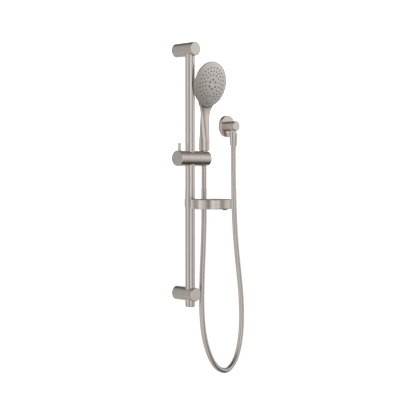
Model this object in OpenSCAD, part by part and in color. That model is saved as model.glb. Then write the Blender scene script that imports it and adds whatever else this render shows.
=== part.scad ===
// Wall-mounted rail shower set: handset, slider, rail, wall elbow, hose and soap dish.
// X points right along the wall, +Y into the wall and +Z up. The origin lies on the wall,
// midway between the two wall screws of the rail.

/* [Rail and brackets] */
// Height between the two wall screws
screw_spacing = 622; // [600:1:660]
// Outside diameter of the rail tube
rail_d = 25; // [24.6:0.1:25]
// Distance from the wall to the middle of the rail
rail_reach = 48.2; // [48:0.1:52]
// Outside diameter of the bracket barrels
bracket_d = 35; // [34:0.5:38]
// Distance from the wall to the front of a bracket
bracket_len = 68.9; // [66:0.1:72]
// How far the rail runs below the lower wall screw
rail_tail = 32.5; // [28:0.5:60]

/* [Slider] */
// Height of the slider above the origin
slider_z = 35.2; // [20:0.1:40]
// Outside diameter of the slider
slider_d = 39.2; // [39:0.1:40]
// Distance from the rail to the middle of the handset
handset_x = 51.8; // [51:0.1:54]
// Length of the locking lever above the middle of the slider
lever_h = 38.2; // [30:0.1:45]

/* [Handset] */
// Diameter of the spray head
head_d = 115.6; // [112:0.1:116]
// Forward lean of the handle, in degrees
lean = 1.6; // [1:0.1:2]
// Tilt of the spray face against the handle, in degrees
face_tilt = 10.8; // [10.5:0.1:11]
// Rise of the domed spray face at its middle
face_rise = 6.1; // [5.5:0.1:6.5]

/* [Wall elbow and hose] */
// Distance of the wall elbow to the right of the rail
elbow_x = 188.8; // [185:0.1:192]
// Height of the wall elbow above the origin
elbow_z = 124.2; // [123:0.1:126]
// Diameter of the wall flange
flange_d = 58.6; // [55:0.1:65]
// Outside diameter of the hose
hose_d = 14; // [13:0.5:14]

/* [Soap dish] */
// Outside diameter of the dish
dish_d = 103.6; // [98:0.1:104]
// Height of the top of the dish, below the origin
dish_top = -67.6; // [-80:0.1:-66]
// Height of the dish wall
dish_h = 23.1; // [20:0.1:26]

/* [Hidden] */
$fn = 96;
brushed = [0.68, 0.65, 0.62];
matte_face = [0.62, 0.60, 0.57];
silicone = [0.34, 0.36, 0.34];
plastic = [0.85, 0.85, 0.82];
steel = [0.60, 0.60, 0.60];
brass = [0.78, 0.66, 0.38];

fit_gap = 0.05;
run_gap = 0.06;
past = 1;

rail_r = rail_d / 2;
tube_wall = 1.2;
bracket_r = bracket_d / 2;
bracket_z = screw_spacing / 2;
rail_top = bracket_z + 9;
cap_h = 4.3;
cap_edge = 1.8;
rail_bottom = -bracket_z - rail_tail + cap_h;
edge = 0.8;

post_r = 12.9;
post_len = 28;
post_screw_r = 2.75;
post_head_r = 5.5;
post_floor = 8;
grub_y = 16;
grub_r = 2.5;
groove_depth = 1;
groove_half = 2.6;
grub_len = 5;
rail_screw_len = 4.4;
hex_socket_r = 1.45;
hex_socket_depth = 2.5;
socket_depth = 31;

slider_r = slider_d / 2;
knob_left = -46.8;
body_left = -22.7;
body_right = 20.3;
seam = 0.4;
holder_left = body_right + seam;
holder_right = 60.4;
liner_r = 13.4;
liner_h = 27.8;
lever_x = -38;
lever_r = 4.05;
lever_seat = 6;
spindle_r = 4;
knob_hollow_r = 16.5;
washer_r = 17.2;
spindle_end = -33;
key_w = 12.1;
key_back = -18.9;
key_front = -12.1;
pocket_x = -20.2;
pocket_len = 10.1;
key_gap = 0.1;
shoe_bore_end = -14.7;
spindle_tip = -15.7;
collar_r = 5.5;
slot_w = 1.2;
pivot_r = 3;
pivot_head_r = 5;
pivot_head_h = 3.5;
pivot_len = 27.3;
socket_x = 9.9;
slot_half = 7.6;
throat_r = 8.6;

nut_h = 35.1;
nut_low_r = 9.4;
nut_wide_r = 11.4;
nut_wide_h = 27.5;
nut_top_r = 10.9;
nut_seat_h = 21;
thread_r = 9.85;
ferrule_r = 7.75;
ferrule_tail = 10;
seal_h = 2;
hose_r = hose_d / 2;
hose_sides = 12;
nut_z = 8;
nut_taper = (nut_wide_r - nut_low_r) / nut_wide_h;

grip_bottom = 20.4;
head_y = -19;
head_z = 190.7;
head_r = head_d / 2;
plate_r = head_r - 0.4;
plate_t = 2.2;
dome_r = (plate_r * plate_r + face_rise * face_rise) / (2 * face_rise);
dome_z = face_rise - dome_r;
button_v = -40;
button_r = 10.9;
button_hole_r = 11.1;
nozzle_clear = 16;
mat_r = 47.5;
duct_w = -8.1;
duct_r = 3.4;
duct_wall = 0.9;
duct_low = -45;
duct_high = -8;
shell_wall = 1.8;
grip_bore_r = 11.7;
grip_bore_top = 48;
screw_ring_r = 38;
mat_t = 1.1;
nozzle_out = 0.7;
tube_low = 52;
tube_len = 95;
tube_r = 2.8;
tube_lean = 1;
seat_r = 13.2;
seat_low = -4.4;
seat_top = -3.5;
spring_turns = 3;
spring_steps = 48;
spring_r = 6;
spring_h = 3.2;

elbow_r = 13.4;
elbow_len = 40;
outlet_y = -28.2;
flange_r = flange_d / 2;
flange_t = 9.5;
elbow_nut_z = 71.5;

dish_r = dish_d / 2;
dish_y = -122.8;
dish_wall = 1.6;
dish_floor = dish_top - dish_h;
clip_r = 14;
clip_low = -88;
clip_high = -67.2;
arm_h = 15;
arm_w = 16;
arm_z = (clip_low + clip_high) / 2;
arm_front = -73;
arm_back = -59;
clip_wall = 0.9;
slot_count = 5;
slot_step = 9;
slot_r = 1.5;
drain_x = 22.7;
drain_y = -147;

// Sections of the grip and neck: height, middle in Y, half width and half depth
neck = [
    [20.4, 0, 15.1, 13], [47, 0, 15, 12.8], [58, 0, 15.2, 11], [68, 0, 15.6, 10],
    [78.7, 0, 15.9, 9.1], [92.9, -0.1, 16, 7.4], [104, -0.3, 15.9, 6.3], [110, -0.5, 15.9, 5.8],
    [118.5, -0.8, 17, 5.4], [123.6, -1.5, 18.8, 5.4], [128.7, -2.2, 20.6, 5.6],
    [133.7, -2.8, 23.4, 5.9], [138.7, -3, 26.5, 6.2], [146, -3, 29, 6.4], [156, -3.4, 27.5, 6.2],
    [166, -5, 23, 5.6], [176, -8.4, 16, 3.4], [182, -11, 8, 2]
];

// Route of the hose from the handset, down the left, round the bottom and up to the elbow
hose_route = [
    [51.8, -48.1, 32.9], [51.8, -48.1, 22], [51.8, -48.2, 10],
    [51.7, -48.2, -20], [51.6, -48.2, -55], [51.6, -48.2, -90],
    [51.5, -48.2, -120], [50.4, -48.4, -150], [49.1, -48.6, -180], [47.2, -48.9, -210],
    [45, -49.2, -240], [43.2, -49.5, -270], [41.8, -49.7, -300],
    [41.2, -49.8, -330], [42, -49.6, -358], [45, -49.2, -389], [51, -48.3, -420],
    [62, -46.7, -452], [78, -44.4, -482], [98, -41.5, -507], [120, -38.2, -524],
    [144, -34.7, -533], [155, -33.1, -534], [166, -31.5, -532.5], [185, -28.8, -524], [201, -26.4, -509],
    [213, -24.7, -489], [222, -23.4, -464], [228, -22.5, -435], [230.4, -22.1, -403],
    [229.6, -22.3, -370], [226.4, -22.7, -335], [221.4, -23.4, -303], [215.2, -24.4, -269],
    [208.2, -25.4, -231], [202.2, -26.2, -193], [197, -27, -152], [193.2, -27.6, -108],
    [190.8, -28, -64], [189.4, -28.2, -20], [188.8, -28.2, 20], [188.8, -28.2, 61.5]
];
// The route's points at which the four stretches of hose meet
tip_end = 2;
tail_end = 5;
riser_end = 12;
loop_end = len(hose_route) - 1;

// ---------------------------------------------------------------- shared shapes

module rod_x(r, from, to) translate([from, 0, 0]) rotate([0, 90, 0]) cylinder(r = r, h = to - from);
module rod_y(r, from, to) translate([0, to, 0]) rotate([90, 0, 0]) cylinder(r = r, h = to - from);
module rod_z(r, from, to) translate([0, 0, from]) cylinder(r = r, h = to - from);
module cone_z(r1, r2, from, to) translate([0, 0, from]) cylinder(r1 = r1, r2 = r2, h = to - from);

module turned(profile) rotate_extrude() polygon(profile);

module ring_z(outer, inner, from, to) difference() {
    rod_z(outer, from, to);
    rod_z(inner, from - past, to + past);
}

module torus(major, minor) rotate_extrude() translate([major, 0]) circle(r = minor, $fn = 32);

// A bar from h = 0 to length whose far rim is chamfered
function bar_profile(r, length, bevel) = [
    [0, 0], [r, 0], [r, length - bevel], [r - bevel, length], [0, length]
];

// One ring of points round a route, square to its direction; the route never runs along up
function unit(v) = v / norm(v);
function heading(path, i) = unit(path[min(i + 1, len(path) - 1)] - path[max(i - 1, 0)]);
function ring_points(c, t, up, r, sides) = let (side = unit(cross(t, up))) [
    for (k = [0 : sides - 1]) c + r * (cos(360 * k / sides) * side + sin(360 * k / sides) * cross(t, side))
];

module swept_tube(path, from, to, up, r, sides) {
    last = to - from;
    polyhedron(
        points = [for (i = [from : to]) each ring_points(path[i], heading(path, i), up, r, sides)],
        faces = [
            [for (k = [0 : sides - 1]) k],
            for (i = [0 : last - 1], k = [0 : sides - 1])
                [i * sides + k, (i + 1) * sides + k,
                 (i + 1) * sides + (k + 1) % sides, i * sides + (k + 1) % sides],
            [for (k = [sides - 1 : -1 : 0]) last * sides + k]
        ]
    );
}

// ---------------------------------------------------------------- rail and brackets

module on_rail() translate([0, -rail_reach, 0]) children();

module rail_tube() color(brushed) on_rail() ring_z(rail_r, rail_r - tube_wall, rail_bottom, rail_top);

module rail_end_cap() color(brushed) on_rail() translate([0, 0, rail_bottom]) turned([
    [0, -cap_h], [rail_r - cap_edge, -cap_h], [rail_r, -cap_h + cap_edge], [rail_r, 0],
    [rail_r - tube_wall, 0], [rail_r - tube_wall, 12], [0, 12]
]);

module rail_top_plug() color(plastic) on_rail() rod_z(rail_r - tube_wall, rail_top - 20, rail_top);

module bracket(rail_from, rail_to) difference() {
    rotate([90, 0, 0]) turned(bar_profile(bracket_r, bracket_len, edge));
    rod_y(post_r + fit_gap, -socket_depth, past);
    on_rail() rod_z(rail_r + fit_gap, rail_from, rail_to);
    translate([0, -grub_y, 0]) rod_z(grub_r, -bracket_r - past, -post_r + past);
    rod_y(grub_r, -rail_reach + rail_r - 2, -socket_depth + past);
}

module upper_bracket() color(brushed) translate([0, 0, bracket_z])
    bracket(-bracket_r - past, rail_top - bracket_z + fit_gap);

module lower_bracket() color(brushed) translate([0, 0, -bracket_z])
    bracket(-bracket_r - past, bracket_r + past);

module wall_post() rotate([90, 0, 0]) turned([
    [post_screw_r, 0], [post_r, 0], [post_r, grub_y - groove_half - groove_depth],
    [post_r - groove_depth, grub_y - groove_half], [post_r - groove_depth, grub_y + groove_half],
    [post_r, grub_y + groove_half + groove_depth], [post_r, post_len - edge],
    [post_r - edge, post_len], [post_head_r, post_len], [post_head_r, post_floor],
    [post_screw_r, post_floor]
]);

module upper_wall_post() color(steel) translate([0, 0, bracket_z]) wall_post();
module lower_wall_post() color(steel) translate([0, 0, -bracket_z]) wall_post();

// A socket set screw that stands along +Z with its point at the top
module set_screw(length) difference() {
    rod_z(grub_r, -length, 0);
    translate([0, 0, -length - past]) cylinder(r = hex_socket_r, h = hex_socket_depth + past, $fn = 6);
}

module bracket_grub_screws() color(steel) for (s = [-1, 1])
    translate([0, -grub_y, s * bracket_z - post_r + groove_depth - fit_gap]) set_screw(grub_len);

module rail_set_screws() color(steel) for (s = [-1, 1])
    translate([0, -rail_reach + rail_r, s * bracket_z]) rotate([90, 0, 0]) set_screw(rail_screw_len);

// ---------------------------------------------------------------- slider

module on_slider() translate([0, -rail_reach, slider_z]) children();

module rail_liner() color(plastic) on_slider() difference() {
    ring_z(liner_r, rail_r + run_gap, -liner_h / 2, liner_h / 2);
    translate([-slot_w / 2, rail_r - past, -liner_h]) cube([slot_w, 2 * past + slot_w, 2 * liner_h]);
}

module slider_body() color(brushed) on_slider() difference() {
    rod_x(slider_r, body_left, body_right);
    rod_z(liner_r + run_gap, -slider_r - past, slider_r + past);
    translate([pocket_x, -key_w / 2 - key_gap, -key_w / 2 - key_gap])
        cube([pocket_len, key_w + 2 * key_gap, key_w + 2 * key_gap]);
    rod_x(spindle_r + run_gap, body_left - past, pocket_x + past);
    rod_x(pivot_r, liner_r - past, body_right + past);
}

module clamp_shoe() color(plastic) on_slider() difference() {
    translate([key_back, -key_w / 2, -key_w / 2]) cube([key_front - key_back, key_w, key_w]);
    rod_z(liner_r + 2 * fit_gap, -key_w, key_w);
    rod_x(pivot_r + run_gap, key_back - past, shoe_bore_end);
}

module clamp_spindle() color(brass) on_slider() rotate([0, 90, 0]) turned([
    [0, spindle_end], [spindle_r, spindle_end], [spindle_r, pocket_x + 0.1],
    [collar_r, pocket_x + 0.1], [collar_r, pocket_x + 0.6], [pivot_r, pocket_x + 0.6],
    [pivot_r, spindle_tip], [0, spindle_tip]
]);

module lock_knob() color(brushed) on_slider() difference() {
    translate([body_left - seam, 0, 0]) rotate([0, -90, 0])
        turned(bar_profile(slider_r, body_left - seam - knob_left, edge));
    rod_x(spindle_r + 0.02, spindle_end, 0);
    translate([body_left - seam, 0, 0]) rotate([0, -90, 0])
        ring_z(knob_hollow_r, 2 * spindle_r, -past, 2 * spindle_r);
    translate([lever_x, 0, 0]) rod_z(lever_r, lever_seat, slider_r + past);
}

module lever_pin() color(brushed) on_slider() translate([lever_x, 0, 0]) turned([
    [0, lever_seat], [lever_r - 0.02, lever_seat], [lever_r - 0.02, lever_h - 0.6],
    [lever_r - 0.5, lever_h], [0, lever_h]
]);

// A flat washer on the slider's axis, with its left face at x
module washer_x(x, t, outer, inner) translate([x, 0, 0]) rotate([0, 90, 0])
    ring_z(outer, inner, 0, t);

module knob_washer() color(plastic) on_slider()
    washer_x(body_left - seam + fit_gap, seam - 2 * fit_gap, washer_r, spindle_r + 0.4);

module holder_washer() color(plastic) on_slider()
    washer_x(body_right + fit_gap, seam - 2 * fit_gap, washer_r, pivot_r + 0.3);

// ---------------------------------------------------------------- handset holder

// The handset's own frame: its origin is where the handle crosses the slider's axis
module on_handset() translate([handset_x, -rail_reach, slider_z]) rotate([lean, 0, 0]) children();

function nut_r_at(z) = nut_low_r + nut_taper * (z - nut_z);

module handset_holder() color(brushed) on_handset() difference() {
    rod_x(slider_r, holder_left - handset_x, holder_right - handset_x);
    cone_z(nut_r_at(nut_z - 3) + fit_gap, nut_r_at(slider_r + past) + fit_gap,
           nut_z - 3, slider_r + past);
    rod_z(throat_r, -slider_r - past, nut_z - 2);
    translate([0, -slot_half, -slider_r - past])
        cube([slider_r, 2 * slot_half, 2 * slider_r + 2 * past]);
    rod_x(pivot_r + run_gap, holder_left - handset_x - past, -socket_x);
    rod_x(pivot_head_r + 0.2, -socket_x - pivot_head_h - 0.4, throat_r - socket_x);
}

module pivot_screw_axis() on_slider() translate([handset_x - socket_x, 0, 0]) children();

module holder_pivot_screw() color(steel) pivot_screw_axis() rotate([0, 90, 0]) difference() {
    turned([
        [0, -pivot_len], [pivot_r, -pivot_len], [pivot_r, -pivot_head_h],
        [pivot_head_r, -pivot_head_h], [pivot_head_r, -0.4], [pivot_head_r - 0.4, 0], [0, 0]
    ]);
    translate([0, 0, -2]) cylinder(r = 2.3, h = 2 + past, $fn = 6);
}

module pivot_spring_washer() color(steel) pivot_screw_axis()
    washer_x(-pivot_head_h - 0.35, 0.3, pivot_head_r - 0.1, pivot_r + 0.1);

// ---------------------------------------------------------------- hose end fittings

// The conical union nut, standing on its narrow end at z = 0
module cone_nut() turned([
    [ferrule_r + 0.1, 0], [nut_low_r - 0.4, 0], [nut_low_r, 0.4], [nut_wide_r, nut_wide_h],
    [nut_wide_r, nut_wide_h + 3], [nut_top_r, nut_h], [thread_r + fit_gap, nut_h],
    [thread_r + fit_gap, nut_seat_h], [ferrule_r + 0.1, nut_seat_h]
]);

// The crimped ferrule that sits in the nut and holds the hose
module ferrule() turned([
    [hose_r - 2.5, -ferrule_tail], [hose_r + 0.05, -ferrule_tail], [ferrule_r, -3], [ferrule_r, nut_seat_h],
    [thread_r - 0.15, nut_seat_h], [thread_r - 0.15, nut_seat_h + 2], [hose_r - 2.5, nut_seat_h + 2]
]);

module hose_seal() ring_z(thread_r - 0.15, 5.2, nut_seat_h + 2, nut_seat_h + 2 + seal_h);

module at_elbow_nut() translate([elbow_x, outlet_y, elbow_nut_z]) children();
module elbow_nut() color(brushed) at_elbow_nut() cone_nut();
module elbow_ferrule() color(brushed) at_elbow_nut() ferrule();
module elbow_hose_seal() color(silicone) at_elbow_nut() hose_seal();

module at_handset_nut() on_handset() translate([0, 0, nut_z]) children();
module handset_nut() color(brushed) at_handset_nut() cone_nut();
module handset_ferrule() color(brushed) at_handset_nut() ferrule();
module handset_hose_seal() color(silicone) at_handset_nut() hose_seal();

// ---------------------------------------------------------------- hose

module hose(from, to) color(brushed) swept_tube(hose_route, from, to, [0, 1, 0], hose_r, hose_sides);
module hose_tip() hose(0, tip_end);
module hose_tail() hose(tip_end, tail_end);
module hose_riser() hose(tail_end, riser_end);
module hose_loop() hose(riser_end, loop_end);

// ---------------------------------------------------------------- handset

module on_head() on_handset() translate([0, head_y, head_z]) rotate([face_tilt, 0, 0])
    rotate([90, 0, 0]) children();

module neck_loft(sections, wall) {
    sides = 32;
    last = len(sections) - 1;
    polyhedron(
        points = [for (s = sections, k = [0 : sides - 1])
            [(s[2] - wall) * cos(360 * k / sides), s[1] + (s[3] - wall) * sin(360 * k / sides), s[0]]],
        faces = [
            [for (k = [0 : sides - 1]) k],
            for (i = [0 : last - 1], k = [0 : sides - 1])
                [i * sides + k, (i + 1) * sides + k,
                 (i + 1) * sides + (k + 1) % sides, i * sides + (k + 1) % sides],
            [for (k = [sides - 1 : -1 : 0]) last * sides + k]
        ]
    );
}

module at_manifold_screws() for (a = [30, 90, 150]) rotate(a) translate([screw_ring_r, 0, 0]) children();

module handset_shell() color(brushed) difference() {
    union() {
        on_handset() neck_loft(neck, 0);
        on_head() turned([
            [0, -2.6], [head_r, -2.6], [head_r - 0.4, -3.7], [head_r - 2.4, -4.3], [46, -5.4],
            [35, -7], [24, -11], [14, -15], [0, -16.5]
        ]);
    }
    on_handset() neck_loft([for (s = neck) if (s[0] > 40 && s[0] < 170) s], shell_wall);
    on_handset() rod_z(grip_bore_r, grip_bottom - past, grip_bore_top);
    on_head() turned([
        [0, -14.5], [13, -13.1], [23.2, -9.3], [34.6, -5], [46, -3.4], [54.5, -2.6],
        [54.5, 12], [0, 12]
    ]);
    on_head() rod_z(head_r + 0.2, -2.6, 14);
    on_head() at_manifold_screws() rod_z(1.25, -5.6, 0);
    on_head() translate([0, 0, duct_w]) rod_y(duct_r + 0.1, duct_low - past, duct_high);
    on_head() translate([0, button_v, 0]) rod_z(seat_r + 0.1, seat_low - 0.1, 0);
}

module inlet_connector() color(brass) on_handset() turned([
    [5.9, 33], [thread_r, 33], [thread_r, 44], [grip_bore_r - fit_gap, 44],
    [grip_bore_r - fit_gap, grip_bore_top], [7, grip_bore_top], [7, tube_low], [3.9, tube_low],
    [3.9, grip_bore_top], [5.9, grip_bore_top - 2]
]);

module flow_regulator() color(plastic) on_handset() ring_z(5.85, 2.4, 36, 40);

module water_tube() color(plastic) on_handset() translate([0, 0, tube_low + fit_gap])
    rotate([tube_lean, 0, 0]) ring_z(tube_r, tube_r - 0.8, 0, tube_len);

// Height of the domed face, or of a surface below it, at a distance r from its middle
function dome_at(r, below) = sqrt(pow(dome_r - below, 2) - r * r) + dome_z;

module dome_shell(top, bottom) intersection() {
    translate([0, 0, dome_z]) difference() {
        sphere(r = dome_r - top, $fn = 360);
        sphere(r = dome_r - bottom, $fn = 360);
    }
    children();
}

// Each ring of nozzles: radius, number, first angle and nozzle radius
nozzle_rings = [
    [11.95, 6, 30, 2.1], [24.9, 14, 270, 1.5], [33.65, 21, 270 + 180 / 21, 1.5], [42.5, 24, 270, 1.5]
];
nozzles = [
    for (n = nozzle_rings, k = [0 : n[1] - 1])
        let (a = n[2] + 360 * k / n[1], p = [n[0] * cos(a), n[0] * sin(a)])
            if (norm(p - [0, button_v]) > nozzle_clear) [p.x, p.y, n[3]]
];

module face_plate() color(matte_face) on_head() difference() {
    dome_shell(0, plate_t) rod_z(plate_r, -10, 10);
    for (n = nozzles) translate([n.x, n.y, -4]) cylinder(r = n[2] + 0.15, h = 14, $fn = 24);
    translate([0, button_v, 0]) rod_z(button_hole_r, -4, 10);
}

module nozzle_mat() color(silicone) on_head() {
    difference() {
        dome_shell(plate_t + 0.1, plate_t + 0.1 + mat_t) rod_z(mat_r, -10, 10);
        translate([0, button_v, 0]) rod_z(13.6, -6, 10);
    }
    for (n = nozzles) let (r = norm([n.x, n.y]))
        translate([n.x, n.y, dome_at(r, plate_t + 0.6)])
            cylinder(r = n[2], h = plate_t + 0.6 + nozzle_out, $fn = 24);
}

module spray_manifold() color(plastic) on_head() difference() {
    union() {
        rod_z(46, -2.9, -1.7);
        ring_z(30.5, 29, -2, 0.6);
        ring_z(18, 16.8, -2, 1.8);
        rod_z(11, -12.5, -2.5);
        translate([0, button_v, 0]) rod_z(seat_r, seat_low, -1.8);
        translate([0, 0, duct_w]) rod_y(duct_r, duct_low, duct_high);
    }
    translate([0, button_v, 0]) rod_z(seat_r - 0.8, seat_top, 8);
    translate([0, 0, duct_w]) rod_y(duct_r - duct_wall, duct_low - past, 0);
    rod_z(4, -10, 3);
    at_manifold_screws() rod_z(1.3, -4, 0);
}

module manifold_screws() color(steel) on_head() at_manifold_screws() turned([
    [0, -5.4], [1.2, -5.4], [1.2, -1.7], [2.6, -1.7], [2.6, -0.9], [2, -0.5], [0, -0.5]
]);

button_top = dome_at(-button_v, 0) + 2;
module at_button() on_head() translate([0, button_v, 0]) children();

// The button's top carries on the dome of the face
module selector_button() color(matte_face) on_head() intersection() {
    translate([0, button_v, 0]) turned([
        [0, 0.4], [9.3, 0.4], [9.3, -1.3], [button_r, -1.3], [button_r, button_top], [0, button_top]
    ]);
    translate([0, 0, dome_z]) sphere(r = dome_r, $fn = 360);
}

module button_seal() color(silicone) at_button() translate([0, 0, -2.6]) torus(11.75, 0.6);

module button_spring() color(steel) at_button() swept_tube([
    for (i = [0 : spring_steps])
        let (a = 360 * spring_turns * i / spring_steps)
            [spring_r * cos(a), spring_r * sin(a), seat_top + 0.35 + spring_h * i / spring_steps]
], 0, spring_steps, [0, 0, 1], 0.3, 6);

// ---------------------------------------------------------------- wall elbow

module on_elbow() translate([elbow_x, 0, elbow_z]) children();

module elbow_flange() color(brushed) on_elbow() difference() {
    rotate([90, 0, 0]) turned([
        [elbow_r + 0.1, 0], [flange_r, 0], [flange_r, flange_t - 1], [flange_r - 1, flange_t],
        [elbow_r + 0.1, flange_t]
    ]);
    rotate([90, 0, 0]) ring_z(26.5, 16.4, -past, 5.6);
    translate([0, -3.8, 0]) rotate([90, 0, 0]) torus(14.25, 0.9);
}

module flange_oring() color(silicone) on_elbow() translate([0, -3.8, 0]) rotate([90, 0, 0])
    torus(14.3, 0.84);

module elbow_body() color(brushed) on_elbow() difference() {
    rotate([90, 0, 0]) turned(bar_profile(elbow_r, elbow_len, edge));
    rod_y(9.3, -14, past);
    rod_y(6, -elbow_len + 5, 0);
    translate([0, outlet_y, 0]) rod_z(8.05, -elbow_r - past, -4);
    translate([0, outlet_y, 0]) rod_z(5.5, -6, 0);
}

module elbow_outlet() color(brushed) translate([elbow_x, outlet_y, 0]) turned([
    [5.5, elbow_nut_z + nut_seat_h + 4], [thread_r, elbow_nut_z + nut_seat_h + 4],
    [thread_r, elbow_nut_z + nut_h - 0.2], [8, elbow_nut_z + nut_h - 0.2], [8, elbow_z - 4.2],
    [5.5, elbow_z - 4.2]
]);

module check_valve() color(plastic) translate([elbow_x, outlet_y, elbow_nut_z + nut_seat_h]) turned([
    [1.6, 5], [5.4, 5], [5.4, 14], [4.2, 15], [1.6, 15]
]);

// ---------------------------------------------------------------- soap dish

module dish_liner() color(plastic) on_rail()
    ring_z(clip_r - clip_wall - run_gap, rail_r + run_gap, clip_low + 0.2, clip_high - 0.2);

module on_dish() translate([0, dish_y, 0]) children();

module dish_clip() color(brushed) difference() {
    union() {
        on_rail() rod_z(clip_r, clip_low, clip_high);
        translate([-arm_w / 2, arm_front, arm_z - arm_h / 2]) cube([arm_w, arm_back - arm_front, arm_h]);
    }
    on_rail() rod_z(clip_r - clip_wall, clip_low - past, clip_high + past);
    on_dish() rod_z(dish_r + 0.02, clip_low - past, clip_high + past);
    translate([0, 0, arm_z]) rod_y(2, -74, -64);
}

module soap_dish() color(brushed) difference() {
    on_dish() translate([0, 0, dish_floor]) turned([
        [0, 0], [dish_r - 1.6, 0], [dish_r - 0.5, 0.5], [dish_r, 1.6], [dish_r, dish_h - 0.4],
        [dish_r - 0.4, dish_h], [dish_r - dish_wall, dish_h], [dish_r - dish_wall, dish_wall],
        [0, dish_wall]
    ]);
    translate([0, 0, arm_z]) rod_y(2.1, -76, -64);
    translate([drain_x, drain_y, 0]) rod_z(4.2, dish_floor - past, dish_floor + 5);
    for (k = [0 : slot_count - 1]) let (from_middle = k - (slot_count - 1) / 2)
        on_dish() translate([slot_step * from_middle, 0, dish_floor - past])
            rotate([0, 0, 90]) drain_slot(24 - 4 * abs(from_middle));
}

module drain_slot(length) {
    translate([-length / 2, -slot_r, 0]) cube([length, 2 * slot_r, 5]);
    for (s = [-1, 1]) translate([s * length / 2, 0, 0]) cylinder(r = slot_r, h = 5);
}

module dish_screw() color(steel) translate([0, 0, arm_z]) rotate([90, 0, 0]) difference() {
    turned([
        [0, 64.2], [1.95, 64.2], [1.95, 72.8], [3.6, 72.8], [3.6, 74], [2.8, 74.8], [0, 74.8]
    ]);
    translate([0, 0, 73.4]) cylinder(r = 1.3, h = 3, $fn = 6);
}

module drain_spout() color(silicone) translate([drain_x, drain_y, dish_floor]) turned([
    [3, -3.6], [5.2, -3.6], [5.6, -3.2], [5.6, 0], [4.15, 0], [4.15, dish_wall + 0.1], [3, dish_wall + 0.1]
]);

// ---------------------------------------------------------------- assembly

rail_tube();
rail_end_cap();
rail_top_plug();
upper_bracket();
lower_bracket();
upper_wall_post();
lower_wall_post();
bracket_grub_screws();
rail_set_screws();
elbow_flange();
elbow_body();
elbow_outlet();
flange_oring();
check_valve();
elbow_hose_seal();
elbow_nut();
elbow_ferrule();
hose_loop();
rail_liner();
hose_riser();
slider_body();
holder_washer();
holder_pivot_screw();
pivot_spring_washer();
hose_tail();
lock_knob();
lever_pin();
clamp_spindle();
knob_washer();
clamp_shoe();
handset_holder();
hose_tip();
handset_shell();
inlet_connector();
handset_hose_seal();
handset_nut();
handset_ferrule();
flow_regulator();
water_tube();
spray_manifold();
manifold_screws();
nozzle_mat();
face_plate();
button_spring();
button_seal();
selector_button();
dish_liner();
dish_clip();
soap_dish();
dish_screw();
drain_spout();
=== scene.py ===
"""Rail shower set in brushed nickel: rail, slider, handset, hose, wall elbow and soap dish.

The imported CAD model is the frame. This script gives each of its nodes a material, and replaces
the hose, the handset's shell, the selector button and its spring with finer meshes.
All lengths are in metres, in the CAD model's frame: the wall is the plane y = 0.
"""

import math

import bmesh
import bpy
import numpy as np
from mathutils import Matrix, Vector


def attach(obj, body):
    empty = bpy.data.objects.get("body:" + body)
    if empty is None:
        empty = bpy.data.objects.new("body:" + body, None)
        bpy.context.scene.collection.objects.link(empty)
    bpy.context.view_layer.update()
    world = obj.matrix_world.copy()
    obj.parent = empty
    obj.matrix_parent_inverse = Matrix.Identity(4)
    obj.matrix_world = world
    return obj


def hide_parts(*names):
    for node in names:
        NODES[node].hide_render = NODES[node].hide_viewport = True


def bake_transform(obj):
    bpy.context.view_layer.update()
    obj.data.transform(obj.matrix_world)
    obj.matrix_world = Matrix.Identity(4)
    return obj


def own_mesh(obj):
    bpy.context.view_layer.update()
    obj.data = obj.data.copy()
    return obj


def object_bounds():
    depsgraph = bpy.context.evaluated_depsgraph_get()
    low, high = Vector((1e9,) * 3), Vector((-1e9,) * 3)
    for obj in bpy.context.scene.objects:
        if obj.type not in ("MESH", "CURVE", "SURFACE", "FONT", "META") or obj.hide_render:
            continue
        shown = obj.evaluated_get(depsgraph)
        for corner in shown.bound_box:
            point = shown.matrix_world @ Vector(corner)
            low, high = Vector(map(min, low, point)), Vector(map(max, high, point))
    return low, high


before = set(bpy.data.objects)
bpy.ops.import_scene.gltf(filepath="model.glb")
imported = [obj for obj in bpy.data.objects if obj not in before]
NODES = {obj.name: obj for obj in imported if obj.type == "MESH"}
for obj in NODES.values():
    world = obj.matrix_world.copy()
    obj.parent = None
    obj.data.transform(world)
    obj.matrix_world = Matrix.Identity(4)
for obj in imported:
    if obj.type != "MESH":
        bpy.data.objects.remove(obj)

MM = 0.001
cad_box = [list(corner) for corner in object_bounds()]

# ---------------------------------------------------------------- camera

CAMERA_AT = Vector((-1.6935, -1.6945, 0.003))
CAMERA_TURN = math.radians(46.917)
CAMERA_DIP = math.radians(2.28)
CAMERA_LENS, SENSOR_WIDTH = 80.27, 36
CLIP_NEAR, CLIP_FAR = 0.05, 60

camera = bpy.data.objects.new("camera", bpy.data.cameras.new("camera"))
bpy.context.scene.collection.objects.link(camera)
camera.data.lens = CAMERA_LENS
camera.data.sensor_width = SENSOR_WIDTH
camera.data.clip_start, camera.data.clip_end = CLIP_NEAR, CLIP_FAR
camera.location = CAMERA_AT
camera.rotation_euler = (math.pi / 2 - CAMERA_DIP, 0, -CAMERA_TURN)
bpy.context.scene.camera = camera

# ---------------------------------------------------------------- meshes


def mesh_object(name, points, faces, material):
    """A smooth-shaded mesh object from lists of points and faces, in the row frame."""
    mesh = bpy.data.meshes.new(name)
    mesh.from_pydata([tuple(p) for p in points], [], faces)
    mesh.update()
    mesh.polygons.foreach_set("use_smooth", [True] * len(mesh.polygons))
    mesh.materials.append(material)
    made = bpy.data.objects.new(name, mesh)
    bpy.context.scene.collection.objects.link(made)
    return made


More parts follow.
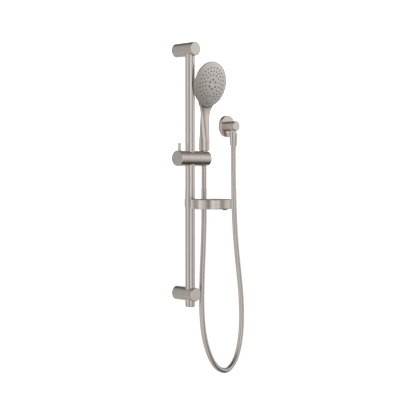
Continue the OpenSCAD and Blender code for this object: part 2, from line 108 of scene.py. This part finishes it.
def ring_faces(rings, sides):
    """Quads between rings of points, with a cap at each end."""
    faces = []
    for i in range(rings - 1):
        low, high = i * sides, (i + 1) * sides
        for k in range(sides):
            beside = (k + 1) % sides
            faces.append((low + k, high + k, high + beside, low + beside))
    last = (rings - 1) * sides
    faces.append(tuple(range(sides)))
    faces.append(tuple(last + k for k in reversed(range(sides))))
    return faces


def face_outward(mesh):
    """Turns a closed mesh's faces so that they all look out."""
    work = bmesh.new()
    work.from_mesh(mesh)
    bmesh.ops.recalc_face_normals(work, faces=work.faces)
    work.to_mesh(mesh)
    work.free()


# ---------------------------------------------------------------- materials

# The part of a noise's range that most of its values fall in
NOISE_LOW, NOISE_HIGH = 0.3, 0.7
BUMP_HEIGHT = 0.0002
# How fine each noise is, how far it moves the roughness either way, and its relief
LINE_SCALE, LINE_ROUGH, LINE_BUMP = 900, 0.02, 0.04
CLOUD_SCALE, CLOUD_ROUGH = 22, 0.012
GRAIN_SCALE, GRAIN_DETAIL, GRAIN_ROUGH, GRAIN_BUMP = 60, 5.0, 0.05, 0.05

# How far a noise is drawn out along each axis: small is long
EVEN = (1, 1, 1)
ACROSS_X = (1, 0.03, 0.03)
ACROSS_Y = (0.03, 1, 0.03)
ACROSS_Z = (0.03, 0.03, 1)
ALONG_Z = (1, 1, 0.03)

NICKEL = ((0.63, 0.575, 0.525), (0.69, 0.635, 0.585))
SATIN = ((0.655, 0.612, 0.57), (0.70, 0.655, 0.61))
STEEL = ((0.52, 0.52, 0.53), (0.62, 0.62, 0.63))
BRASS = ((0.66, 0.47, 0.20), (0.74, 0.55, 0.27))
PLASTIC = ((0.55, 0.55, 0.53), (0.66, 0.66, 0.64))
SILICONE = ((0.075, 0.085, 0.078), (0.12, 0.13, 0.12))


def new_material(name):
    """A node material, its tree and its Principled shader."""
    material = bpy.data.materials.new(name)
    material.use_nodes = True
    tree = material.node_tree
    return material, tree, tree.nodes["Principled BSDF"]


def add_node(tree, kind, values=None, **settings):
    """A node with its input sockets and its properties set."""
    made = tree.nodes.new(kind)
    for key, value in settings.items():
        setattr(made, key, value)
    for key, value in (values or {}).items():
        made.inputs[key].default_value = value
    return made


def stretched_noise(tree, stretch, scale, detail=3.0):
    """Noise in the object's own coordinates, drawn out along the axes with a small stretch."""
    place = add_node(tree, "ShaderNodeTexCoord")
    mapping = add_node(tree, "ShaderNodeMapping", {"Scale": stretch})
    noise = add_node(
        tree, "ShaderNodeTexNoise", {"Scale": scale, "Detail": detail, "Roughness": 0.6}
    )
    tree.links.new(place.outputs["Object"], mapping.inputs["Vector"])
    tree.links.new(mapping.outputs["Vector"], noise.inputs["Vector"])
    return noise.outputs["Fac"]


def between(tree, fac, low, high):
    """A value that runs from low to high as fac runs over the middle of its range."""
    limits = {"From Min": NOISE_LOW, "From Max": NOISE_HIGH, "To Min": low, "To Max": high}
    made = add_node(tree, "ShaderNodeMapRange", limits)
    tree.links.new(fac, made.inputs["Value"])
    return made.outputs["Result"]


def tint(tree, fac, dark, light):
    """A colour between dark and light."""
    made = add_node(tree, "ShaderNodeValToRGB")
    ends = ((NOISE_LOW, dark), (NOISE_HIGH, light))
    for element, (position, colour) in zip(made.color_ramp.elements, ends):
        element.position = position
        element.color = (*colour, 1)
    tree.links.new(fac, made.inputs["Fac"])
    return made.outputs["Color"]


def add_relief(tree, shader, height, strength):
    """Fine relief on the surface, from a noise."""
    relief = add_node(tree, "ShaderNodeBump", {"Strength": strength, "Distance": BUMP_HEIGHT})
    tree.links.new(height, relief.inputs["Height"])
    tree.links.new(relief.outputs["Normal"], shader.inputs["Normal"])


def brushed_metal(name, dark, light, grain, rough):
    """Satin metal whose fine brush lines run along the axes where grain is small."""
    material, tree, shader = new_material(name)
    lines = stretched_noise(tree, grain, LINE_SCALE)
    cloud = stretched_noise(tree, EVEN, CLOUD_SCALE)
    shader.inputs["Metallic"].default_value = 1.0
    tree.links.new(tint(tree, lines, dark, light), shader.inputs["Base Color"])
    spread = add_node(tree, "ShaderNodeMath", operation="ADD")
    tree.links.new(between(tree, lines, rough - LINE_ROUGH, rough + LINE_ROUGH), spread.inputs[0])
    tree.links.new(between(tree, cloud, -CLOUD_ROUGH, CLOUD_ROUGH), spread.inputs[1])
    tree.links.new(spread.outputs["Value"], shader.inputs["Roughness"])
    add_relief(tree, shader, lines, LINE_BUMP)
    return material


def moulded(name, dark, light, rough):
    """Moulded plastic or rubber with a faint grain."""
    material, tree, shader = new_material(name)
    grain = stretched_noise(tree, EVEN, GRAIN_SCALE, GRAIN_DETAIL)
    tree.links.new(tint(tree, grain, dark, light), shader.inputs["Base Color"])
    mottled = between(tree, grain, rough - GRAIN_ROUGH, rough + GRAIN_ROUGH)
    tree.links.new(mottled, shader.inputs["Roughness"])
    add_relief(tree, shader, grain, GRAIN_BUMP)
    return material


nickel_x = brushed_metal("nickel_turned_about_x", *NICKEL, ACROSS_X, 0.2)
nickel_y = brushed_metal("nickel_turned_about_y", *NICKEL, ACROSS_Y, 0.2)
nickel_z = brushed_metal("nickel_turned_about_z", *NICKEL, ACROSS_Z, 0.2)
nickel_tube = brushed_metal("nickel_brushed_lengthwise", *NICKEL, ALONG_Z, 0.18)
nickel_hose = brushed_metal("nickel_hose", *NICKEL, EVEN, 0.2)
satin_face = brushed_metal("satin_face", *SATIN, EVEN, 0.26)
plain_steel = brushed_metal("plain_steel", *STEEL, EVEN, 0.3)
brass = brushed_metal("brass", *BRASS, ACROSS_Z, 0.26)
plastic = moulded("moulded_plastic", *PLASTIC, 0.45)
silicone = moulded("silicone", *SILICONE, 0.5)

FINISHES = {
    nickel_x: ["slider_body", "lock_knob", "handset_holder"],
    nickel_y: ["upper_bracket", "lower_bracket", "elbow_flange", "elbow_body"],
    nickel_z: [
        "rail_end_cap", "lever_pin", "elbow_nut", "elbow_ferrule", "elbow_outlet",
        "handset_nut", "handset_ferrule", "dish_clip", "soap_dish", "handset_shell",
    ],
    nickel_tube: ["rail_tube"],
    nickel_hose: ["hose_loop", "hose_riser", "hose_tail", "hose_tip"],
    satin_face: ["face_plate", "selector_button"],
    silicone: [
        "nozzle_mat", "button_seal", "handset_hose_seal", "elbow_hose_seal",
        "flange_oring", "drain_spout",
    ],
    plain_steel: [
        "upper_wall_post", "lower_wall_post", "bracket_grub_screws", "rail_set_screws",
        "dish_screw", "holder_pivot_screw", "pivot_spring_washer", "manifold_screws",
        "button_spring",
    ],
    brass: ["clamp_spindle", "inlet_connector"],
    plastic: [
        "rail_top_plug", "check_valve", "rail_liner", "clamp_shoe", "knob_washer",
        "holder_washer", "flow_regulator", "water_tube", "spray_manifold", "dish_liner",
    ],
}


def wear(obj, material):
    """Puts the material on every slot of an object, or on a new slot."""
    if not obj.material_slots:
        obj.data.materials.append(material)
    for place in obj.material_slots:
        place.link = "OBJECT"
        place.material = material


for finish, names in FINISHES.items():
    for node_name in names:
        wear(NODES[node_name], finish)

# ---------------------------------------------------------------- hose

HOSE_CREST_R = 0.00695
HOSE_GROOVE_R = 0.00675
HOSE_PITCH = 0.0034
HOSE_SIDES = 28
HOSE_STEP = 0.0015
# One rib: how far along it, and how high from groove (0) to crest (1)
HOSE_RIB = [(0.0, 0), (0.07, 0.1), (0.13, 0.92), (0.18, 1), (0.9, 1), (0.95, 0.8)]
# The hose's middle line in millimetres, from the handset's nut to the elbow's
HOSE_ROUTE = [
    (51.8, -48.1, 32.9), (51.8, -48.1, 22), (51.8, -48.2, 10),
    (51.7, -48.2, -20), (51.6, -48.2, -55), (51.6, -48.2, -90),
    (51.5, -48.2, -120), (50.4, -48.4, -150), (49.1, -48.6, -180), (47.2, -48.9, -210),
    (45, -49.2, -240), (43.2, -49.5, -270), (41.8, -49.7, -300),
    (41.2, -49.8, -330), (42, -49.6, -358), (45, -49.2, -389), (51, -48.3, -420),
    (62, -46.7, -452), (78, -44.4, -482), (98, -41.5, -507), (120, -38.2, -524),
    (144, -34.7, -533), (155, -33.1, -533.8), (166, -31.5, -532.5), (185, -28.8, -524),
    (201, -26.4, -509),
    (213, -24.7, -489), (222, -23.4, -464), (228, -22.5, -435), (230.3, -22.1, -403),
    (229.6, -22.3, -370), (226.4, -22.7, -335), (221.4, -23.4, -303), (215.2, -24.4, -269),
    (208.2, -25.4, -231), (202.2, -26.2, -193), (197, -27, -152), (193.2, -27.6, -108),
    (190.8, -28, -64), (189.4, -28.2, -20), (188.8, -28.2, 20), (188.8, -28.2, 61.5),
]
# The points of the route where each stretch ends
TIP_END, TAIL_END, RISER_END, LOOP_END = 2, 5, 12, len(HOSE_ROUTE) - 1


def catmull(points, step):
    """A smooth curve through points: places about a step apart, and each point's index in them."""
    knots = np.array(points)
    padded = np.vstack([2 * knots[0] - knots[1], knots, 2 * knots[-1] - knots[-2]])
    line, marks = [], [0]
    for i in range(len(knots) - 1):
        a, b, c, d = padded[i : i + 4]
        count = max(2, round(float(np.linalg.norm(c - b)) / step))
        for t in np.arange(count) / count:
            square = (2 * a - 5 * b + 4 * c - d) * t**2
            cube = (3 * b - a - 3 * c + d) * t**3
            line.append(0.5 * (2 * b + (c - a) * t + square + cube))
        marks.append(len(line))
    line.append(knots[-1])
    return np.array(line), marks


HOSE_LINE, HOSE_MARKS = catmull([[MM * x for x in p] for p in HOSE_ROUTE], HOSE_STEP)
HOSE_UP = np.array([0.0, 1.0, 0.0])


def unit(v):
    """The vectors at length one."""
    return v / np.linalg.norm(v, axis=-1, keepdims=True)


def along(line):
    """Distance along a line of points, from its start."""
    return np.concatenate([[0], np.cumsum(np.linalg.norm(np.diff(line, axis=0), axis=1))])


def hose_stretch(name, start, end, material):
    """The ribbed hose between two points of its route; each stretch starts and ends in a groove."""
    first, last = HOSE_MARKS[start], HOSE_MARKS[end]
    line = HOSE_LINE[first : last + 1]
    heading = unit(np.gradient(HOSE_LINE, axis=0))[first : last + 1]
    far = along(line)
    ribs = max(1, round(far[-1] / HOSE_PITCH))
    stations = [(rib + share, lift) for rib in range(ribs) for share, lift in HOSE_RIB]
    stations.append((ribs, 0))
    angle = 2 * np.pi * np.arange(HOSE_SIDES)[:, None] / HOSE_SIDES
    points = []
    for station, lift in stations:
        s = station / ribs * far[-1]
        centre = np.array([np.interp(s, far, line[:, k]) for k in range(3)])
        tangent = unit(np.array([np.interp(s, far, heading[:, k]) for k in range(3)]))
        side = unit(np.cross(tangent, HOSE_UP))
        radius = HOSE_GROOVE_R + lift * (HOSE_CREST_R - HOSE_GROOVE_R)
        circle = np.cos(angle) * side + np.sin(angle) * np.cross(tangent, side)
        points.extend(centre + radius * circle)
    made = mesh_object(name, points, ring_faces(len(stations), HOSE_SIDES), material)
    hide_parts(name.replace("_armour", ""))
    return made, line, float(far[-1])


tip, _, _ = hose_stretch("hose_tip_armour", 0, TIP_END, nickel_hose)
tail, tail_line, tail_length = hose_stretch("hose_tail_armour", TIP_END, TAIL_END, nickel_hose)
riser, riser_line, riser_length = hose_stretch(
    "hose_riser_armour", TAIL_END, RISER_END, nickel_hose
)
loop, loop_line, loop_length = hose_stretch("hose_loop_armour", RISER_END, LOOP_END, nickel_hose)

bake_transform(tip)
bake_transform(tail)
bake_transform(riser)
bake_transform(loop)

# ---------------------------------------------------------------- handset

SOCKET_AT, HAND_LEAN = (0.0518, -0.0482, 0.0352), math.radians(1.6)
HEAD_AT, HEAD_LEAN = (0, -19, 190.7), math.radians(10.8)


def about_x(angle):
    """A turn about the X axis."""
    return Matrix.Rotation(angle, 4, "X")


# The handset's own frame, and the head's: u across, v up the face, w out of it; in millimetres
HAND = Matrix.Translation(SOCKET_AT) @ about_x(HAND_LEAN) @ Matrix.Scale(MM, 4)
HEAD_IN_HAND = Matrix.Translation(HEAD_AT) @ about_x(HEAD_LEAN) @ about_x(math.pi / 2)
HEAD = HAND @ HEAD_IN_HAND

# Height, middle in Y, half width and half depth of the grip and neck
NECK = np.array([
    (20.4, 0, 15.1, 13), (47, 0, 15, 12.8), (58, 0, 15.2, 11), (68, 0, 15.6, 10),
    (78.7, 0, 15.9, 9.1), (92.9, -0.1, 16, 7.4), (104, -0.3, 15.9, 6.3), (110, -0.5, 15.9, 5.8),
    (118.5, -0.8, 17, 5.4), (123.6, -1.5, 18.8, 5.4), (128.7, -2.2, 20.6, 5.6),
    (133.7, -2.8, 23.4, 5.9), (138.7, -3, 26.5, 6.2), (146, -3, 29, 6.4), (156, -3.4, 27.5, 6.2),
    (166, -5, 23, 5.6), (176, -8.4, 16, 3.4), (182, -11, 8, 2),
])
NECK_LOW, NECK_HIGH = NECK[0, 0], NECK[-1, 0]
# The hollow inside the neck, and the round bore in the grip that holds the inlet connector
NECK_WALL, HOLLOW_LOW, HOLLOW_HIGH = 1.8, 47, 166
BORE_R, BORE_LOW, BORE_HIGH = 11.7, 19.4, 48

# The head's back and its hollow, as radius and height from its middle
HEAD_BACK = np.array([
    (0, -16.5), (14, -15), (24, -11), (35, -7), (46, -5.4), (55.4, -4.3), (57.8, -3.7),
])
HEAD_R, HEAD_EDGE, HEAD_TOP = 57.8, -3.7, 1
CAVITY = [
    (0, -14.5), (13, -13.1), (23.2, -9.3), (34.6, -5), (46, -3.4), (54.5, -2.6), (54.5, 12),
    (0, 12),
]
# Cut from the head: its open front, the duct from the neck, and the selector's seat
FRONT_R, FRONT_LOW, FRONT_HIGH = 58.0, -2.6, 14
DUCT_DEPTH, DUCT_R, DUCT_START, DUCT_END = -8.1, 3.5, -46, -8
SEAT_R, SEAT_LOW, SEAT_HIGH = 13.3, -4.5, 0

# How softly the outer skin's corners and joins are rounded
NECK_EASE, BACK_EASE = 3.0, 2.0
NECK_END_EASE, RIM_EASE, WELD = 1.0, 0.8, 7.0
SKIN_VOXEL, QUICK_VOXEL, SKIN_CREASE = 0.8, 1.6, math.radians(35)
# Moving the remeshed skin into place: rounds, probe, longest step and least slope
SKIN_ROUNDS, SKIN_REACH, SKIN_STEP, SKIN_SLOPE = 5, 0.05, 1.0, 0.05


def eased(table, spread):
    """The table's columns on a fine grid of its first column, with its corners rounded off."""
    step = 0.25
    grid = np.arange(table[0, 0] - 4 * spread, table[-1, 0] + 4 * spread, step)
    reach = np.arange(-3 * spread, 3 * spread + step, step)
    weight = np.exp(-0.5 * (reach / spread) ** 2)
    half = len(reach) // 2
    columns = []
    for k in range(1, table.shape[1]):
        line = np.interp(grid, table[:, 0], table[:, k])
        rounded = np.convolve(np.pad(line, half, mode="edge"), weight / weight.sum(), mode="valid")
        columns.append(rounded[: len(grid)])
    return grid, columns


NECK_Z, (NECK_Y, NECK_A, NECK_B) = eased(NECK, NECK_EASE)
BACK_R, (BACK_W,) = eased(HEAD_BACK, BACK_EASE)
TO_HEAD = np.array(HEAD_IN_HAND.inverted())


def soft_min(a, b, k):
    """The smaller of two distances, with a smooth hand-over where they are nearly equal."""
    h = np.clip(0.5 + 0.5 * (b - a) / k, 0, 1)
    return b * (1 - h) + a * h - k * h * (1 - h)


def shell_field(p):
    """About the distance from the handset's outer skin, in its own frame; negative inside."""
    z = p[:, 2]
    x, y = p[:, 0], p[:, 1] - np.interp(z, NECK_Z, NECK_Y)
    wide, deep = np.interp(z, NECK_Z, NECK_A), np.interp(z, NECK_Z, NECK_B)
    q = np.sqrt((x / wide) ** 2 + (y / deep) ** 2) + 1e-9
    neck = np.hypot(x, y) * (1 - 1 / q)
    neck = -soft_min(-neck, -np.maximum(NECK_LOW - z, z - NECK_HIGH), NECK_END_EASE)
    local = p @ TO_HEAD[:3, :3].T + TO_HEAD[:3, 3]
    r, w = np.hypot(local[:, 0], local[:, 1]), local[:, 2]
    back = np.interp(r, BACK_R, BACK_W) - w
    rim = np.maximum(r - HEAD_R, w - HEAD_TOP)
    head = -soft_min(-back, -rim, RIM_EASE)
    return soft_min(neck, head, WELD)


def onto_shell(p):
    """Moves points onto the handset's outer skin."""
    for _ in range(SKIN_ROUNDS):
        rises = []
        for e in np.eye(3):
            rise = shell_field(p + SKIN_REACH * e) - shell_field(p - SKIN_REACH * e)
            rises.append(rise / (2 * SKIN_REACH))
        slope = np.stack(rises, axis=1)
        step = shell_field(p) / np.maximum((slope**2).sum(axis=1), SKIN_SLOPE)
        p = p - np.clip(step, -SKIN_STEP, SKIN_STEP)[:, None] * slope
    return p


def lathe(name, profile, sides, frame_matrix):
    """A closed turned solid from (radius, height) pairs, standing on the Z axis of a frame."""
    turn = 2 * np.pi * np.arange(sides) / sides
    points = []
    for radius, height in profile:
        r = max(radius, 1e-4)
        for t in turn:
            points.append(frame_matrix @ Vector((r * math.cos(t), r * math.sin(t), height)))
    made = mesh_object(name, points, ring_faces(len(profile), sides), nickel_z)
    face_outward(made.data)
    return made


def neck_solid(name, wall, low, high):
    """The grip and neck between two heights, drawn in by a wall, in the handset's frame."""
    sides, rings = 64, 60
    turn = 2 * np.pi * np.arange(sides) / sides
    points = []
    for z in np.linspace(low, high, rings):
        y, a, b = (np.interp(z, NECK_Z, column) for column in (NECK_Y, NECK_A, NECK_B))
        for t in turn:
            points.append(((a - wall) * math.cos(t), y + (b - wall) * math.sin(t), z))
    made = mesh_object(name, points, ring_faces(rings, sides), nickel_z)
    face_outward(made.data)
    return made


def baked(obj):
    """The object's mesh with its modifiers applied; the modifiers are taken off."""
    depsgraph = bpy.context.evaluated_depsgraph_get()
    mesh = bpy.data.meshes.new_from_object(obj.evaluated_get(depsgraph))
    obj.modifiers.clear()
    obj.data = mesh
    return mesh


def carved(obj, cutters):
    """Cuts closed meshes out of a closed mesh, and removes the cutters."""
    for cutter in cutters:
        cut = obj.modifiers.new("cut", "BOOLEAN")
        cut.operation, cut.solver, cut.object = "DIFFERENCE", "EXACT", cutter
    baked(obj)
    for cutter in cutters:
        mesh = cutter.data
        bpy.data.objects.remove(cutter)
        bpy.data.meshes.remove(mesh)


def rod(radius, low, high):
    """A cylinder's profile for lathe()."""
    return [(0, low), (radius, low), (radius, high), (0, high)]


def handset_skin():
    """The one-piece handle and head back, with its cavities."""
    body = neck_solid("handset_skin", 0, NECK_LOW, NECK_HIGH)
    back = [(r, w) for r, w in zip(BACK_R, BACK_W) if 0 <= r < HEAD_R][::8]
    back += [(HEAD_R, HEAD_EDGE), (HEAD_R, HEAD_TOP), (0, HEAD_TOP)]
    head = lathe("head_rough", back, 128, HEAD_IN_HAND)
    joined = bmesh.new()
    joined.from_mesh(body.data)
    joined.from_mesh(head.data)
    joined.to_mesh(body.data)
    joined.free()
    bpy.data.objects.remove(head)
    remesh = body.modifiers.new("even", "REMESH")
    remesh.mode, remesh.voxel_size = "VOXEL", SKIN_VOXEL
    mesh = baked(body)
    loose = np.empty(3 * len(mesh.vertices))
    mesh.vertices.foreach_get("co", loose)
    mesh.vertices.foreach_set("co", onto_shell(loose.reshape(-1, 3)).ravel())
    mesh.update()
    duct = HEAD_IN_HAND @ Matrix.Translation((0, 0, DUCT_DEPTH)) @ about_x(-math.pi / 2)
    seat = HEAD_IN_HAND @ Matrix.Translation((0, BUTTON_V, 0))
    carved(body, [
        lathe("cut_front", rod(FRONT_R, FRONT_LOW, FRONT_HIGH), 256, HEAD_IN_HAND),
        lathe("cut_cavity", CAVITY, 96, HEAD_IN_HAND),
        neck_solid("cut_neck", NECK_WALL, HOLLOW_LOW, HOLLOW_HIGH),
        lathe("cut_bore", rod(BORE_R, BORE_LOW, BORE_HIGH), 64, Matrix.Identity(4)),
        lathe("cut_duct", rod(DUCT_R, DUCT_START, DUCT_END), 32, duct),
        lathe("cut_seat", rod(SEAT_R, SEAT_LOW, SEAT_HIGH), 64, seat),
    ])
    body.data.transform(HAND)
    body.data.polygons.foreach_set("use_smooth", [True] * len(body.data.polygons))
    body.data.set_sharp_from_angle(angle=SKIN_CREASE)
    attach(body, "handset")
    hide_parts("handset_shell")


FACE_R, FACE_RISE = 57.4, 6.1
DOME_RADIUS = (FACE_R**2 + FACE_RISE**2) / (2 * FACE_RISE)
# The spray selector: its middle and radius, the cup below its top, and its rounded rim
BUTTON_V, BUTTON_R, BUTTON_SHIFT = -40.0, 10.35, (0.5, -0.25)
CUP_R, CUP_TOP, SKIRT_LOW, SKIRT_HIGH = 9.3, 0.4, -1.3, -0.6
BUTTON_RIM, BUTTON_CREASE = 0.45, math.radians(40)
CUP_MIDDLE, TOP_RINGS = 0.02, (0.85, 0.65, 0.4, 0.2, 0.02)


def dome_height(u, v):
    """Height of the domed face at a place on it."""
    return math.sqrt(DOME_RADIUS**2 - u * u - v * v) + FACE_RISE - DOME_RADIUS


def button_disc():
    """The spray selector: a disc whose top carries on the dome of the face, with a rounded rim."""
    sides = 96
    # Radius, then depth below the dome, or else a height of its own
    rings = [(CUP_MIDDLE, None, CUP_TOP), (CUP_R, None, CUP_TOP), (CUP_R, None, SKIRT_LOW)]
    rings += [(BUTTON_R, None, SKIRT_LOW), (BUTTON_R, None, SKIRT_HIGH)]
    for t in np.linspace(0, math.pi / 2, 7):
        across, down = BUTTON_RIM * math.cos(t), BUTTON_RIM * math.sin(t)
        rings.append((BUTTON_R - BUTTON_RIM + across, down - BUTTON_RIM, None))
    rings += [(BUTTON_R * share, 0.0, None) for share in TOP_RINGS]
    points = []
    for radius, drop, height in rings:
        for k in range(sides):
            t = 2 * math.pi * k / sides
            u = BUTTON_SHIFT[0] + radius * math.cos(t)
            v = BUTTON_V + BUTTON_SHIFT[1] + radius * math.sin(t)
            w = dome_height(u, v) + drop if height is None else height
            points.append(HEAD @ Vector((u, v, w)))
    disc = mesh_object("selector_disc", points, ring_faces(len(rings), sides), satin_face)
    face_outward(disc.data)
    disc.data.set_sharp_from_angle(angle=BUTTON_CREASE)
    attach(disc, "button")
    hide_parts("selector_button")


# The spring: heights of its seat and of its wire's middle, coil radius and wire radius
SPRING_SEAT, SPRING_LOW, SPRING_HIGH = -3.5, -3.15, 0.05
SPRING_R, SPRING_WIRE, SPRING_TURNS = 6.0, 0.3, 3


def button_coil():
    """The selector's spring, a coil of wire in its seat under the button."""
    steps, sides = 144, 10
    turn = 2 * np.pi * SPRING_TURNS * np.arange(steps + 1) / steps
    out = np.stack([np.cos(turn), np.sin(turn), np.zeros_like(turn)], axis=1)
    centre = SPRING_R * out + [0, BUTTON_V, SPRING_LOW]
    centre[:, 2] += (SPRING_HIGH - SPRING_LOW) * turn / turn[-1]
    heading = unit(np.gradient(centre, axis=0))
    across = np.cross(heading, out)
    around = 2 * np.pi * np.arange(sides)[:, None] / sides
    points = []
    for c, o, a in zip(centre, out, across):
        wire = c + SPRING_WIRE * (np.cos(around) * o + np.sin(around) * a)
        points.extend(HEAD @ Vector(p) for p in wire)
    coil = mesh_object("button_coil", points, ring_faces(steps + 1, sides), plain_steel)
    face_outward(coil.data)
    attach(coil, "handset")
    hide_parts("button_spring")
    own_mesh(coil)


handset_skin()
button_disc()
button_coil()

# ---------------------------------------------------------------- studio

FLOOR_GAP = 0.02
FLOOR_Z = cad_box[0][2] - FLOOR_GAP
FLOOR_SIZE, DOME_R = 30, 28


def band_ramp(tree, value, stops):
    """A grey ramp over value, from (position, grey) pairs, that eases between its stops."""
    made = add_node(tree, "ShaderNodeValToRGB")
    ramp = made.color_ramp
    ramp.interpolation = "EASE"
    while len(ramp.elements) < len(stops):
        ramp.elements.new(0.5)
    for element, (position, grey) in zip(ramp.elements, stops):
        element.position = position
        element.color = (grey, grey, grey, 1)
    tree.links.new(value, made.inputs["Fac"])
    return made.outputs["Color"]


def by_azimuth(stops):
    """A ramp's stops from (degrees, grey) pairs, 0 towards the camera and growing to its right."""
    return [(0.5 + degrees / 360, grey) for degrees, grey in stops]


def by_elevation(stops):
    """A ramp's stops from (degrees above the horizon, grey) pairs."""
    return [(0.5 + 0.5 * math.sin(math.radians(degrees)), grey) for degrees, grey in stops]


def mixed(tree, kind, first, second, factor=None):
    """Two colours mixed, added or multiplied, in full unless a factor is given."""
    made = add_node(tree, "ShaderNodeMix", data_type="RGBA", blend_type=kind)
    if factor is None:
        made.inputs["Factor"].default_value = 1.0
    else:
        tree.links.new(factor, made.inputs["Factor"])
    tree.links.new(first, made.inputs[6])
    tree.links.new(second, made.inputs[7])
    return made.outputs[2]


# The light from each side, and from low to high at the front, the left and the back
AROUND = [
    (-180, 0.78), (-140, 0.80), (-112, 0.46), (-88, 0.46), (-68, 1.08), (-48, 0.74), (-34, 0.62),
    (-18, 0.26), (-6, 0.5), (4, 1.05), (24, 0.76), (40, 0.88), (54, 0.40), (66, 0.38), (84, 0.72),
    (110, 0.80), (132, 0.56), (160, 0.52), (180, 0.78),
]
UP_FRONT = [
    (-90, 0.5), (-64, 0.35), (-50, 0.1), (-40, 0.08), (-31, 0.36), (-20, 0.68), (-8, 0.95),
    (8, 1.2), (20, 1.1), (34, 0.66), (48, 0.32), (62, 0.17), (90, 0.15),
]
UP_LEFT = [
    (-90, 0.2), (-46, 0.4), (-22, 0.75), (-8, 0.96), (0, 1.0), (34, 1.04), (43, 0.8), (56, 0.3),
    (90, 0.15),
]
UP_BACK = [
    (-90, 0.15), (-44, 0.25), (-22, 0.6), (-8, 0.95), (0, 1.0), (16, 0.95), (28, 0.5),
    (38, 0.18), (50, 0.14), (90, 0.15),
]
# How far each side counts as the left and as the back
LEFTNESS = [(-180, 0), (-136, 0.3), (-118, 1), (-60, 1), (-20, 0.7), (20, 0.3), (50, 0), (180, 0)]
BACKNESS = [(-180, 1), (-138, 1), (-116, 0), (146, 0), (164, 1), (180, 1)]
# Light off the white floor, which the dark card on the right keeps away from that side
BOUNCE_UP = [(-90, 1), (-36, 1), (-22, 0.55), (-8, 0)]
BOUNCE_AROUND = [
    (-180, 0.32), (-70, 0.32), (-36, 0.5), (20, 0.5), (48, 0.2), (66, 0), (136, 0), (158, 0.3),
    (180, 0.32),
]


def studio_world():
    """Soft boxes and dark gaps round the object, as a world that depends on direction only."""
    world = bpy.data.worlds.new("studio")
    bpy.context.scene.world = world
    world.use_nodes = True
    tree = world.node_tree
    place = add_node(tree, "ShaderNodeTexCoord")
    parts = add_node(tree, "ShaderNodeSeparateXYZ")
    tree.links.new(place.outputs["Generated"], parts.inputs[0])
    turned = add_node(tree, "ShaderNodeVectorRotate", {"Angle": CAMERA_TURN})
    turned.rotation_type = "Z_AXIS"
    tree.links.new(place.outputs["Generated"], turned.inputs["Vector"])
    flat = add_node(tree, "ShaderNodeSeparateXYZ")
    tree.links.new(turned.outputs["Vector"], flat.inputs[0])
    azimuth = add_node(tree, "ShaderNodeMath", operation="ARCTAN2")
    minus_y = add_node(tree, "ShaderNodeMath", {1: -1.0}, operation="MULTIPLY")
    tree.links.new(flat.outputs["Y"], minus_y.inputs[0])
    tree.links.new(flat.outputs["X"], azimuth.inputs[0])
    tree.links.new(minus_y.outputs[0], azimuth.inputs[1])
    side = add_node(tree, "ShaderNodeMath", {1: 0.5 / math.pi, 2: 0.5}, operation="MULTIPLY_ADD")
    tree.links.new(azimuth.outputs[0], side.inputs[0])
    height = add_node(tree, "ShaderNodeMath", {1: 0.5, 2: 0.5}, operation="MULTIPLY_ADD")
    tree.links.new(parts.outputs["Z"], height.inputs[0])

    def around(stops):
        return band_ramp(tree, side.outputs[0], by_azimuth(stops))

    def upwards(stops):
        return band_ramp(tree, height.outputs[0], by_elevation(stops))

    up = mixed(tree, "MIX", upwards(UP_FRONT), upwards(UP_LEFT), around(LEFTNESS))
    up = mixed(tree, "MIX", up, upwards(UP_BACK), around(BACKNESS))
    glow = mixed(tree, "MULTIPLY", around(AROUND), up)
    bounce = mixed(tree, "MULTIPLY", upwards(BOUNCE_UP), around(BOUNCE_AROUND))
    total = mixed(tree, "ADD", glow, bounce)
    tree.links.new(total, tree.nodes["Background"].inputs["Color"])


studio_world()
bpy.context.scene.view_settings.view_transform = "Standard"


def stage_material(name, glow):
    """A white surface that gives off most of its own light, so that it stays pale and plain."""
    material, tree, shader = new_material(name)
    shader.inputs["Base Color"].default_value = (0.9, 0.9, 0.9, 1)
    shader.inputs["Roughness"].default_value = 0.9
    shader.inputs["Emission Color"].default_value = (1, 1, 1, 1)
    shader.inputs["Emission Strength"].default_value = glow
    return material


def only_for_the_camera(obj):
    """Keeps a stage piece out of reflections and off the object's light."""
    obj.visible_glossy = False
    obj.visible_diffuse = False
    obj.visible_shadow = False


corners = ((-1, -1), (1, -1), (1, 1), (-1, 1))
floor = mesh_object(
    "floor", [(x * FLOOR_SIZE, y * FLOOR_SIZE, FLOOR_Z) for x, y in corners], [(0, 1, 2, 3)],
    stage_material("floor_paint", 0.75),
)
dome_mesh = bmesh.new()
bmesh.ops.create_uvsphere(dome_mesh, u_segments=48, v_segments=24, radius=DOME_R)
dome_data = bpy.data.meshes.new("backdrop")
dome_mesh.to_mesh(dome_data)
dome_mesh.free()
dome_data.materials.append(stage_material("backdrop_paint", 1.0))
dome = bpy.data.objects.new("backdrop", dome_data)
bpy.context.scene.collection.objects.link(dome)
only_for_the_camera(floor)
only_for_the_camera(dome)
